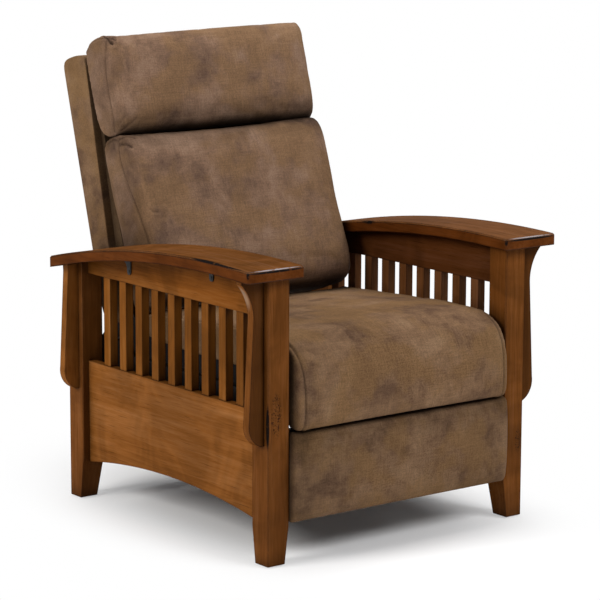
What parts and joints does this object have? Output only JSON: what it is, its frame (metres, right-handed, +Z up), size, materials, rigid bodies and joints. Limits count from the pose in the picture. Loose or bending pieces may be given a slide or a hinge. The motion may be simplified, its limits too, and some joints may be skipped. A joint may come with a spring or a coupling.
{
  "type": "reclining armchair",
  "caption": "Mission-style push-back reclining armchair with bowed wooden arms, slatted sides and a padded seat, back and footrest.",
  "frame": {"origin": "bottom centre of the whole box, on the floor", "axes": "+X to the sitter's left, +Y to the rear, +Z up"},
  "size_m": [0.8288, 0.9082, 1.0387],
  "materials": {
    "stained_wood": "satin cherry stain, open fine grain",
    "frame_wood": "plain hardwood",
    "brown_fabric": "mottled brushed suede cloth",
    "black_cloth": "thin black non-woven cloth",
    "black_steel": "semi-matte black",
    "bright_steel": "zinc plated",
    "glide_plastic": "matte nylon"
  },
  "bodies": {
    "frame": {"post_front_left": "stained_wood", "post_front_right": "stained_wood", "post_rear_left": "stained_wood", "post_rear_right": "stained_wood", "side_panel_left": "stained_wood", "side_panel_right": "stained_wood", "arm_rail_left": "stained_wood", "arm_rail_right": "stained_wood", "slats_left": "stained_wood", "slats_right": "stained_wood", "corbel_front_left": "stained_wood", "corbel_front_right": "stained_wood", "corbel_rear_left": "stained_wood", "corbel_rear_right": "stained_wood", "arm_board_left": "stained_wood", "arm_board_right": "stained_wood", "stretcher_front": "frame_wood", "stretcher_rear": "frame_wood", "cleat_left": "frame_wood", "cleat_right": "frame_wood", "arm_brackets": "black_steel", "foot_glides": "glide_plastic", "base_plate_left": "black_steel", "base_plate_right": "black_steel", "base_rivets": "bright_steel", "base_screws": "bright_steel"},
    "front_carriers": {"carriers_front": "black_steel"},
    "rear_carriers": {"carriers_rear": "black_steel", "carrier_tube": "black_steel"},
    "seat": {"seat_plate_left": "black_steel", "seat_plate_right": "black_steel", "seat_rivets": "bright_steel", "seat_rail_left": "frame_wood", "seat_rail_right": "frame_wood", "seat_rail_front": "frame_wood", "seat_rail_rear": "frame_wood", "seat_springs": "bright_steel", "seat_cushion": "brown_fabric", "seat_cloth_left": "black_cloth", "seat_cloth_right": "black_cloth"},
    "front_swing_arms": {"swing_arms_front": "black_steel", "swing_tube": "black_steel"},
    "rear_swing_arms": {"swing_arms_rear": "black_steel"},
    "lower_push_bars": {"push_bars_lower": "black_steel"},
    "upper_push_bars": {"push_bars_upper": "black_steel"},
    "drive_links": {"drive_links": "black_steel"},
    "footrest": {"footrest_board": "black_cloth", "footrest_pad": "brown_fabric", "footrest_brackets": "black_steel"},
    "back": {"back_stile_left": "frame_wood", "back_stile_right": "frame_wood", "back_rail_bottom": "frame_wood", "back_rail_middle": "frame_wood", "back_rail_top": "frame_wood", "back_slab": "brown_fabric", "back_cushion": "brown_fabric", "headrest": "brown_fabric", "back_brackets": "black_steel"}
  },
  "joints": [
    {"name": "seat_glide", "type": "hinge", "parent": "frame", "child": "front_carriers", "pos_m": [0, -0.16178, 0.23009], "axis": [1, 0, 0], "range_deg": [0, 40]},
    {"name": "seat_tilt", "type": "hinge", "parent": "front_carriers", "child": "seat", "pos_m": [0, -0.10443, 0.312], "axis": [1, 0, 0], "range_deg": [-43.1, 0]},
    {"name": "rear_carrier_swing", "type": "hinge", "parent": "frame", "child": "rear_carriers", "pos_m": [0, 0.09587, 0.2266], "axis": [1, 0, 0], "range_deg": [0, 40.8]},
    {"name": "front_arm_swing", "type": "hinge", "parent": "seat", "child": "front_swing_arms", "pos_m": [0, -0.23443, 0.297], "axis": [-1, 0, 0], "range_deg": [0, 88.1]},
    {"name": "rear_arm_swing", "type": "hinge", "parent": "seat", "child": "rear_swing_arms", "pos_m": [0, -0.17843, 0.305], "axis": [-1, 0, 0], "range_deg": [0, 88.1]},
    {"name": "lower_bar_turn", "type": "hinge", "parent": "front_swing_arms", "child": "lower_push_bars", "pos_m": [0, -0.15113, 0.12623], "axis": [-1, 0, 0], "range_deg": [-88.1, 0]},
    {"name": "upper_bar_turn", "type": "hinge", "parent": "front_swing_arms", "child": "upper_push_bars", "pos_m": [0, -0.16867, 0.16218], "axis": [-1, 0, 0], "range_deg": [-88.1, 0]},
    {"name": "footrest_turn", "type": "hinge", "parent": "lower_push_bars", "child": "footrest", "pos_m": [0, -0.35043, 0.225], "axis": [-1, 0, 0], "range_deg": [0, 88.1]},
    {"name": "drive_link_turn", "type": "hinge", "parent": "rear_swing_arms", "child": "drive_links", "pos_m": [0, -0.19643, 0.287], "axis": [1, 0, 0], "range_deg": [0, 44.6]},
    {"name": "back_recline", "type": "hinge", "parent": "seat", "child": "back", "pos_m": [0, 0.17557, 0.345], "axis": [-1, 0, 0], "range_deg": [0, 35]}
  ],
  "couplings": [
    {"joint": "seat_tilt", "follows": "seat_glide", "ratio": -1.075},
    {"joint": "rear_carrier_swing", "follows": "seat_glide", "ratio": 1.017},
    {"joint": "front_arm_swing", "follows": "seat_glide", "ratio": 2.2},
    {"joint": "rear_arm_swing", "follows": "seat_glide", "ratio": 2.2},
    {"joint": "lower_bar_turn", "follows": "seat_glide", "ratio": -2.2},
    {"joint": "upper_bar_turn", "follows": "seat_glide", "ratio": -2.2},
    {"joint": "footrest_turn", "follows": "seat_glide", "ratio": 2.2},
    {"joint": "drive_link_turn", "follows": "seat_glide", "ratio": 1.111}
  ]
}
